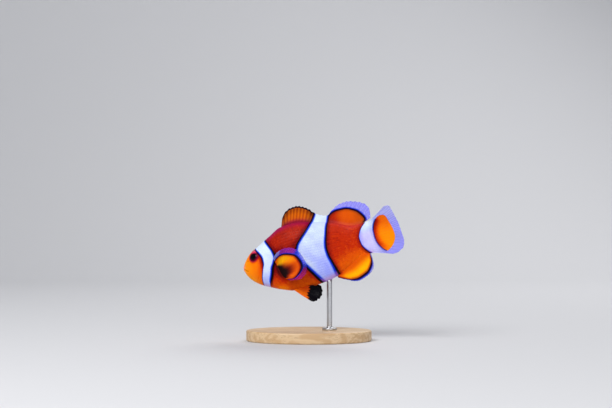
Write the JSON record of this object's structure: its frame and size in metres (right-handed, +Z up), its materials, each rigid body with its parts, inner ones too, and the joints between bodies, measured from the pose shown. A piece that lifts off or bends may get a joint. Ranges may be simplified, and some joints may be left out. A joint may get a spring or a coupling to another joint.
{
  "type": "clownfish",
  "caption": "Life-size still clownfish, orange with black-edged white bands, swimming nose down and held by a steel rod over an oval wooden base.",
  "frame": {"origin": "centre of the flat underside of the stand's oval base", "axes": "+X from the fish's head towards its tail, the fish's left flank faces -Y, +Z up"},
  "size_m": [0.0733, 0.039, 0.0647],
  "materials": {
    "skin_orange": "moist skin with fine scales, bright orange",
    "skin_red_orange": "moist skin with fine scales, deep red-orange",
    "skin_white": "moist skin with fine scales, cool white edged in black",
    "fin_orange": "thin rayed membrane, orange with a black line and a clear margin",
    "fin_white": "thin rayed membrane, cool white",
    "fin_amber": "thin rayed membrane, amber with a black line and a clear margin",
    "fin_black": "thin rayed membrane, orange at the root and black towards the rim",
    "eye": "glossy, with a black pupil and a narrow maroon iris, pinker above",
    "stand_wood": "pale oiled hardwood, satin",
    "stand_steel": "fine brushed, satin"
  },
  "bodies": {
    "root": {"head": "skin_orange", "lower_jaw": "skin_orange", "head_band": "skin_white", "gill_cover_left": "skin_white", "gill_cover_right": "skin_white", "eye_left": "eye", "eye_right": "eye", "shoulder": "skin_red_orange", "trunk_band": "skin_white", "loin": "skin_red_orange", "tail_stalk": "skin_white", "dorsal_fin_front": "fin_orange", "dorsal_fin_middle": "fin_white", "dorsal_fin_rear": "fin_orange", "anal_fin": "fin_amber", "tail_fin": "fin_amber", "pectoral_fin_left": "fin_amber", "pectoral_fin_right": "fin_amber", "pelvic_fin_left": "fin_black", "pelvic_fin_right": "fin_black", "stand_base": "stand_wood", "stand_rod": "stand_steel"}
  },
  "joints": []
}
